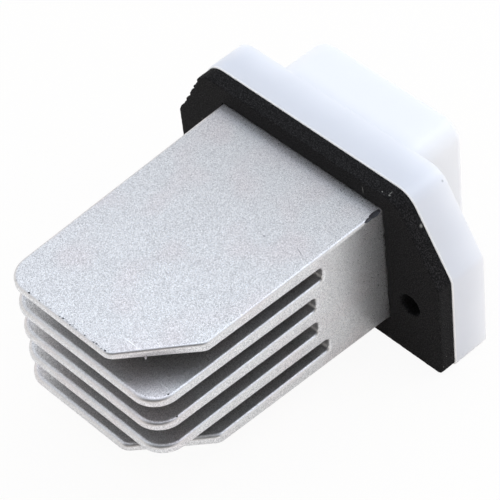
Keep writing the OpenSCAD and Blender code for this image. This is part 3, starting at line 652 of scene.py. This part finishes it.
def stone_cutter(place, radius, stretch, seed):
    """A lumpy stone in millimetres, set at a place on an edge, that cuts one chip."""
    bpy.ops.object.select_all(action="DESELECT")
    bpy.ops.mesh.primitive_ico_sphere_add(subdivisions=2, radius=radius * MM, location=Vector(place) * MM)
    stone = bpy.context.object
    bpy.ops.object.mode_set(mode="EDIT")
    bpy.ops.transform.vertex_random(offset=0.3 * radius * MM, seed=seed)
    bpy.ops.transform.resize(value=stretch, center_override=Vector(place) * MM)
    bpy.ops.object.mode_set(mode="OBJECT")
    return stone


def combine(piece, tools, operation):
    """Cuts a group of tools out of a piece, or adds them to it, and removes them."""
    bpy.ops.object.select_all(action="DESELECT")
    for tool in tools:
        tool.select_set(True)
    bpy.context.view_layer.objects.active = tools[0]
    bpy.ops.object.join()
    alone(piece)
    step = piece.modifiers.new("combine", "BOOLEAN")
    step.object = tools[0]
    step.operation = operation
    step.solver = "EXACT"
    step.use_self = True
    step.material_mode = "TRANSFER"
    bpy.ops.object.modifier_apply(modifier=step.name)
    bpy.data.objects.remove(tools[0])


def burr(foot, point, low, high):
    """A thin lip of metal in millimetres, drawn from its foot to its point."""
    foot = Vector(foot) * MM
    point = Vector(point) * MM
    bpy.ops.object.select_all(action="DESELECT")
    bpy.ops.mesh.primitive_cone_add(
        vertices=8, radius1=low * MM, radius2=high * MM, depth=(point - foot).length,
        location=(foot + point) / 2, rotation=(point - foot).to_track_quat("Z", "Y").to_euler(),
    )
    lip = bpy.context.object
    bpy.ops.object.transform_apply(location=True, rotation=True, scale=True)
    bpy.ops.object.mode_set(mode="EDIT")
    bpy.ops.mesh.select_all(action="SELECT")
    bpy.ops.mesh.subdivide(number_cuts=2)
    bpy.ops.transform.vertex_random(offset=0.1 * high * MM, seed=BURR_SEED)
    bpy.ops.object.mode_set(mode="OBJECT")
    return lip


class RESISTOR_OT_heat_sink(bpy.types.Operator):
    """Rounds the cast fins' edges, chips them where they are worn and gives them a blasted skin"""
    bl_idname = "resistor.heat_sink"
    bl_label = "Cast Heat Sink"

    def execute(self, context):
        look = context.scene.resistor_heat_sink
        sink = merged_copy("heat_sink", "cast_heat_sink")
        round_edges(sink, [(self.on_fins, look.edge)], segments=4)
        self.reshape_tips(sink, look)
        dress(sink, cast_aluminium(look), "heat_sink")
        combine(sink, [burr(*lip) for lip in BURR], "UNION")
        chips = [*NICK, *CORNER_CHIPS, *self.tip_chips()]
        stones = [stone_cutter(*chip, seed) for seed, chip in enumerate(chips)]
        broken = broken_metal_and_shade(look)
        for stone in stones:
            stone.data.materials.append(broken)
        combine(sink, stones, "DIFFERENCE")
        smooth(sink)
        return {"FINISHED"}

    def on_fins(self, edge):
        """True for the edges in front of the base plate."""
        reach = [p.y for p in ends(edge)]
        return max(reach) < FOAM_BACK + PLACE_SLACK and min(reach) < FOAM_FRONT

    def reshape_tips(self, sink, look):
        """Sharpens the tips' lower edges and widens the lower fins' upper ones; the edges between taper."""
        bpy.ops.object.mode_set(mode="EDIT")
        mesh = bmesh.from_edit_mesh(sink.data)
        tips = [v for v in mesh.verts if v.co.y < TIP_REACH]
        moves = [(v, self.tip_move(v, way, look)) for v in tips for way in (UP, -UP)]
        for vertex, move in moves:
            vertex.co += move
        bmesh.update_edit_mesh(sink.data)
        bpy.ops.object.mode_set(mode="OBJECT")

    def tip_move(self, vertex, way, look):
        """How far a vertex on a rounding, above a fin or below it, moves to give it its own radius."""
        rises = [face.normal.dot(way) for face in vertex.link_faces]
        slopes = [face.normal for face in vertex.link_faces if UPRIGHT < face.normal.dot(way) < LEVEL]
        if not slopes:
            return Vector()
        slope = sum(slopes, Vector()).normalized()
        outward = Vector((slope.x, slope.y, 0.0)).normalized()
        sine = slope.dot(way)
        if min(rises) < UPRIGHT:
            sine = 0.0
        if max(rises) > LEVEL:
            sine = 1.0
        cosine = math.sqrt(1.0 - sine * sine)
        change = look.edge - look.under
        if way == UP:
            change = (look.edge - look.upper) * max(-outward.y, 0.0) * (vertex.co.z < TOP_FIN)
        return change * (outward * (1.0 - cosine) + way * (1.0 - sine))

    def tip_chips(self):
        """The small chips along the top fin's front edge, a little uneven in place, size and length."""
        draw = random.Random(TIP_CHIP_SEED)
        chips = []
        for x in TIP_CHIPS:
            place = (x, TIP_EDGE_Y + draw.uniform(-0.1, 0.1), TIP_EDGE_Z + draw.uniform(-0.06, 0.04))
            chips.append((place, draw.uniform(0.1, 0.2), (draw.uniform(1.0, 1.8), 1.0, 0.8)))
        return chips


class RESISTOR_OT_gasket(bpy.types.Operator):
    """Softens the foam's cut edges, tears its left slope and gives it its cells"""
    bl_idname = "resistor.gasket"
    bl_label = "Foam Gasket"

    def execute(self, context):
        look = context.scene.resistor_gasket
        foam = merged_copy("gasket", "foam_gasket")
        self.tear(foam, look)
        self.swell(foam, look)
        bpy.ops.object.shade_smooth()
        dress(foam, cut_foam(look), "gasket")
        return {"FINISHED"}

    def on_left_slope(self, edge):
        """True for the long edges of the left slope."""
        if len(edge.link_faces) != 2 or edge.calc_length() <= LONG_EDGE:
            return False
        return max(face.normal.dot(LEFT_SLOPE) for face in edge.link_faces) > ON_SLOPE

    def tear(self, foam, look):
        """Breaks the left slope into ragged steps, and moves the back out so that it can be trimmed flat."""
        draw = random.Random(TEAR_SEED)
        bpy.ops.object.mode_set(mode="EDIT")
        pick(foam, "EDGE", self.on_left_slope)
        bpy.ops.mesh.subdivide(number_cuts=TORN_STEPS)
        mesh = bmesh.from_edit_mesh(foam.data)
        torn = [v for v in mesh.verts if v.select]
        step = 0.0
        for vertex in sorted(torn, key=lambda v: v.co.z):
            if draw.random() < NEW_STEP:
                step = draw.uniform(0.0, look.ragged)
            vertex.co -= LEFT_SLOPE * step
        for vertex in mesh.verts:
            if vertex.co.y > FOAM_BACK - PLACE_SLACK:
                vertex.co.y += TRIM_WIDTHS * look.voxel
        bmesh.update_edit_mesh(foam.data)
        bpy.ops.object.mode_set(mode="OBJECT")

    def swell(self, foam, look):
        """Softens the cut edges, makes the skin uneven and trims the back flat."""
        skin = foam.modifiers.new("skin", "REMESH")
        skin.mode = "VOXEL"
        skin.voxel_size = look.voxel
        bpy.ops.object.modifier_apply(modifier=skin.name)
        soft = foam.modifiers.new("soft", "SMOOTH")
        soft.factor = 0.5
        soft.iterations = 3
        bpy.ops.object.modifier_apply(modifier=soft.name)
        ripples = bpy.data.textures.new("foam ripples", "CLOUDS")
        ripples.noise_scale = look.ripple
        ripples.noise_depth = 3
        uneven = foam.modifiers.new("uneven", "DISPLACE")
        uneven.texture = ripples
        uneven.texture_coords = "LOCAL"
        uneven.strength = look.swell
        uneven.mid_level = 0.5
        bpy.ops.object.modifier_apply(modifier=uneven.name)
        bpy.ops.object.mode_set(mode="EDIT")
        bpy.ops.mesh.select_all(action="SELECT")
        bpy.ops.mesh.bisect(plane_co=(0, FOAM_BACK, 0), plane_no=(0, 1, 0), clear_outer=True, use_fill=True)
        bpy.ops.object.mode_set(mode="OBJECT")


class RESISTOR_OT_housing(bpy.types.Operator):
    """Rounds the housing's edges as its mould did and gives it milky plastic"""
    bl_idname = "resistor.housing"
    bl_label = "Moulded Housing"

    def execute(self, context):
        look = context.scene.resistor_housing
        shell = merged_copy("housing", "moulded_housing")
        corners = [v.co.copy() for v in shell.data.vertices]

        def rim_at(y):
            """A test for the edges of the housing's outline on the plane across Y at this place."""
            outline = [p for p in corners if abs(p.y - y) < PLACE_SLACK]
            return lambda edge: lies_at(edge, y) and is_rim(edge, outline)

        round_edges(shell, [
            (rim_at(FOAM_BACK), look.front_edge),
            (rim_at(FLANGE_BACK), look.rim_edge),
            (rim_at(BLOCK_BACK), look.block_edge),
        ], segments=5)
        dress(shell, moulded_nylon(look), "housing")
        smooth(shell)
        return {"FINISHED"}


class RESISTOR_OT_terminals(bpy.types.Operator):
    """Rounds the stamped blades' edges and gives them tin plating"""
    bl_idname = "resistor.terminals"
    bl_label = "Stamped Terminals"

    def execute(self, context):
        look = context.scene.resistor_terminals
        plating = plated_strip(look, "brass_strip_tin_plated", look.tin, look.brass)
        for node in ("motor_terminal", "ground_terminal", "control_terminal", "feedback_terminal"):
            blade = merged_copy(node, "stamped_" + node)
            round_edges(blade, [(is_corner, look.edge)], segments=2)
            smooth(blade)
            dress(blade, plating, node)
        return {"FINISHED"}


class RESISTOR_OT_inner_parts(bpy.types.Operator):
    """Gives the parts inside the housing their finishes"""
    bl_idname = "resistor.inner_parts"
    bl_label = "Inner Parts"

    def execute(self, context):
        look = context.scene.resistor_inner
        strip = context.scene.resistor_terminals
        # Zinc plate gives the eye a pale silver with faint clouds
        zinc = mottled(
            "steel_zinc_plated", look.zinc, grain=0.8, contrast=0.06, rough=(0.25, 0.4), metallic=1.0
        )
        # Moulded epoxy gives it a matt black with the grain of its filler
        epoxy = mottled("epoxy_transfer_moulded", look.epoxy, grain=0.2, contrast=0.25, rough=(0.5, 0.65))
        # Rolled silicone gives it a dull, nearly even pink
        silicone = mottled(
            "silicone_sheet_calendered", look.silicone, grain=0.4, contrast=0.08, rough=(0.6, 0.8)
        )
        # Moulded nylon without pigment gives it a waxy cream
        bush = mottled("nylon_bush_moulded", look.bush, grain=0.5, contrast=0.05, rough=(0.4, 0.55))
        # Fired ceramic gives it a matt tan with fine specks
        ceramic = mottled("ceramic_fired", look.ceramic, grain=0.25, contrast=0.1, rough=(0.45, 0.6))
        # Shrunk vinyl gives it a glossy dark blue with slow ripples
        sleeve = mottled("vinyl_sleeve_shrunk", look.sleeve, grain=0.9, contrast=0.15, rough=(0.25, 0.4))
        tinned = plated_strip(strip, "copper_tin_plated", look.tin, look.copper)
        finishes = {
            "sink_screws": zinc,
            "spring_washer": zinc,
            "transistor_screw": zinc,
            "transistor_case": epoxy,
            "control_chip": epoxy,
            "chip_resistors": epoxy,
            "suppressor_diode": epoxy,
            "transistor_tab": tinned,
            "thermal_fuse": tinned,
            "insulating_pad": silicone,
            "insulating_bush": bush,
            "circuit_board": resist_board(look),
            "chip_capacitors": ceramic,
            "filter_capacitor": sleeve,
        }
        for node, material in finishes.items():
            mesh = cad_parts[node].data
            mesh.materials.clear()
            mesh.materials.append(material)
        return {"FINISHED"}


class RESISTOR_OT_stage(bpy.types.Operator):
    """Sets the camera at the photograph's angle, a pale floor and soft light"""
    bl_idname = "resistor.stage"
    bl_label = "Stage"

    def execute(self, context):
        look = context.scene.resistor_stage
        scene = context.scene
        camera = bpy.data.objects.new("camera", bpy.data.cameras.new("camera"))
        camera.location = look.camera
        camera.rotation_euler = look.turn
        camera.data.lens = look.lens
        camera.data.clip_start = 10 * MM
        scene.collection.objects.link(camera)
        scene.camera = camera
        bpy.ops.object.select_all(action="DESELECT")
        bpy.ops.mesh.primitive_plane_add(size=look.floor, location=(0, 0, FLOOR_Z))
        floor = context.object
        floor.name = "floor"
        floor.data.materials.append(self.floor_finish(look))
        self.dark_card(look)
        self.scrim(look)
        self.lamp("overhead", look.overhead, look.overhead_width, look.overhead_place, look)
        self.lamp("window", look.window, look.window_width, look.window_place, look)
        self.sky(scene, look)
        scene.view_settings.view_transform = "Standard"
        return {"FINISHED"}

    def lamp(self, name, power, width, place, look):
        """A round soft lamp that faces the object."""
        light = bpy.data.lights.new(name, "AREA")
        light.shape = "DISK"
        light.size = width
        light.energy = power
        light.color = look.tint[:3]
        holder = bpy.data.objects.new(name, light)
        holder.location = place
        way = Vector(look.aim) - holder.location
        holder.rotation_euler = way.to_track_quat("-Z", "Y").to_euler()
        bpy.context.scene.collection.objects.link(holder)

    def only_mirrored(self, screen):
        """Hides a screen from the camera, and keeps it from lighting or shading the object."""
        screen.visible_camera = False
        screen.visible_diffuse = False
        screen.visible_shadow = False

    def off_card(self, face):
        """True for a face of the sphere that the card is cut from, if it lies outside the card."""
        way = face.calc_center_median().normalized()
        height = math.degrees(math.asin(way.z))
        turn = math.degrees(math.atan2(way.y, way.x))
        on_card = CARD_HEIGHTS[0] < height < CARD_HEIGHTS[1] and CARD_TURNS[0] < turn < CARD_TURNS[1]
        return not on_card

    def dark_card(self, look):
        """A dark curved card round the camera, which the rounded edges of the fins mirror as dark lines."""
        bpy.ops.object.select_all(action="DESELECT")
        bpy.ops.mesh.primitive_uv_sphere_add(segments=48, ring_count=24, radius=look.card)
        card = bpy.context.object
        card.name = "dark_card"
        bpy.ops.object.mode_set(mode="EDIT")
        pick(card, "FACE", self.off_card)
        bpy.ops.mesh.delete(type="FACE")
        bpy.ops.object.mode_set(mode="OBJECT")
        material, *_ = new_finish("dark_card_matt", Base_Color=look.card_tone, Roughness=0.9)
        card.data.materials.append(material)
        self.only_mirrored(card)
        return card

    def scrim(self, look):
        """A grey scrim behind and above that only reflections show, which dims the top towards the foam."""
        bpy.ops.object.select_all(action="DESELECT")
        middle = Vector(look.scrim_edge) + Vector((0, look.scrim / 2, 0))
        bpy.ops.mesh.primitive_plane_add(size=look.scrim, location=middle)
        scrim = bpy.context.object
        scrim.name = "scrim"
        material = bpy.data.materials.new("grey_scrim_backlit")
        material.use_nodes = True
        tree = material.node_tree
        tree.nodes.clear()
        glow = add(tree, "Emission", {"Color": look.scrim_tone})
        add(tree, "OutputMaterial", {"Surface": glow.outputs[0]})
        scrim.data.materials.append(material)
        self.only_mirrored(scrim)
        return scrim

    def floor_finish(self, look):
        """White paper that shows white, with a trace of the object's shadow."""
        material = bpy.data.materials.new("white_paper_matt")
        material.use_nodes = True
        tree = material.node_tree
        tree.nodes.clear()
        path = add(tree, "LightPath")
        sheet = add(tree, "Mix", {
            0: path.outputs["Is Glossy Ray"], 6: look.paper, 7: Vector(look.mirrored) * look.bounce,
        }, data_type="RGBA")
        paper = add(tree, "BsdfDiffuse", {"Color": sheet.outputs[2]})
        white = add(tree, "Emission", {"Strength": 1.0})
        straight = add(tree, "Math", {
            0: path.outputs["Is Camera Ray"], 1: path.outputs["Is Transmission Ray"],
        }, operation="MAXIMUM")
        bare = add(tree, "Math", {0: straight.outputs[0], 1: 1.0 - look.shadow}, operation="MULTIPLY")
        mix = add(tree, "MixShader", {0: bare.outputs[0], 1: paper.outputs[0], 2: white.outputs[0]})
        add(tree, "OutputMaterial", {"Surface": mix.outputs[0]})
        return material

    def seen(self, tree):
        """1 for rays that see the background directly, in a mirror or through glass."""
        path = add(tree, "LightPath")
        mirror = add(tree, "Math", {
            0: path.outputs["Is Camera Ray"], 1: path.outputs["Is Glossy Ray"],
        }, operation="MAXIMUM")
        return add(tree, "Math", {
            0: mirror.outputs[0], 1: path.outputs["Is Transmission Ray"],
        }, operation="MAXIMUM").outputs[0]

    def sky(self, scene, look):
        """A white light tent: white where it is seen, softer where it lights the object."""
        world = bpy.data.worlds.new("light_tent")
        world.use_nodes = True
        scene.world = world
        tree = world.node_tree
        level = add(tree, "MapRange", {
            "Value": self.seen(tree), "To Min": look.sky, "To Max": look.seen_sky,
        })
        height = add(tree, "SeparateXYZ", {"Vector": add(tree, "TexCoord").outputs["Generated"]})
        above = add(tree, "MapRange", {"Value": height.outputs["Z"], "From Min": 0.1, "From Max": 0.8})
        tone = add(tree, "Mix", {0: above.outputs[0], 6: look.side_tint, 7: look.tint}, data_type="RGBA")
        feed(tree, tree.nodes["Background"], Color=tone.outputs[2], Strength=level.outputs[0])


class RESISTOR_PT_parts(bpy.types.Panel):
    """Lists the pieces of the resistor and their settings"""
    bl_idname = "RESISTOR_PT_parts"
    bl_label = "Blower Motor Resistor"
    bl_space_type = "VIEW_3D"
    bl_region_type = "UI"
    bl_category = "Resistor"

    def draw(self, context):
        for operator in OPERATORS:
            self.layout.operator(operator.bl_idname)
        for name, group in SETTINGS.items():
            box = self.layout.box()
            box.label(text=group.__doc__)
            for value in group.__annotations__:
                box.prop(getattr(context.scene, name), value)


SETTINGS = {
    "resistor_heat_sink": HeatSinkSettings,
    "resistor_gasket": GasketSettings,
    "resistor_housing": HousingSettings,
    "resistor_terminals": TerminalSettings,
    "resistor_inner": InnerSettings,
    "resistor_stage": StageSettings,
}
OPERATORS = [
    RESISTOR_OT_stage,
    RESISTOR_OT_heat_sink,
    RESISTOR_OT_gasket,
    RESISTOR_OT_housing,
    RESISTOR_OT_terminals,
    RESISTOR_OT_inner_parts,
]


def register():
    """Adds the classes and their settings to Blender."""
    for kind in [*SETTINGS.values(), *OPERATORS, RESISTOR_PT_parts]:
        bpy.utils.register_class(kind)
    for name, group in SETTINGS.items():
        setattr(bpy.types.Scene, name, PointerProperty(type=group))


def unregister():
    """Takes the classes and their settings away again."""
    for name in SETTINGS:
        delattr(bpy.types.Scene, name)
    for kind in reversed([*SETTINGS.values(), *OPERATORS, RESISTOR_PT_parts]):
        bpy.utils.unregister_class(kind)


def main():
    """Builds every piece in order."""
    register()
    bpy.ops.resistor.stage()
    bpy.ops.resistor.heat_sink()
    bpy.ops.resistor.gasket()
    bpy.ops.resistor.housing()
    bpy.ops.resistor.terminals()
    bpy.ops.resistor.inner_parts()


if __name__ == "__main__":
    main()
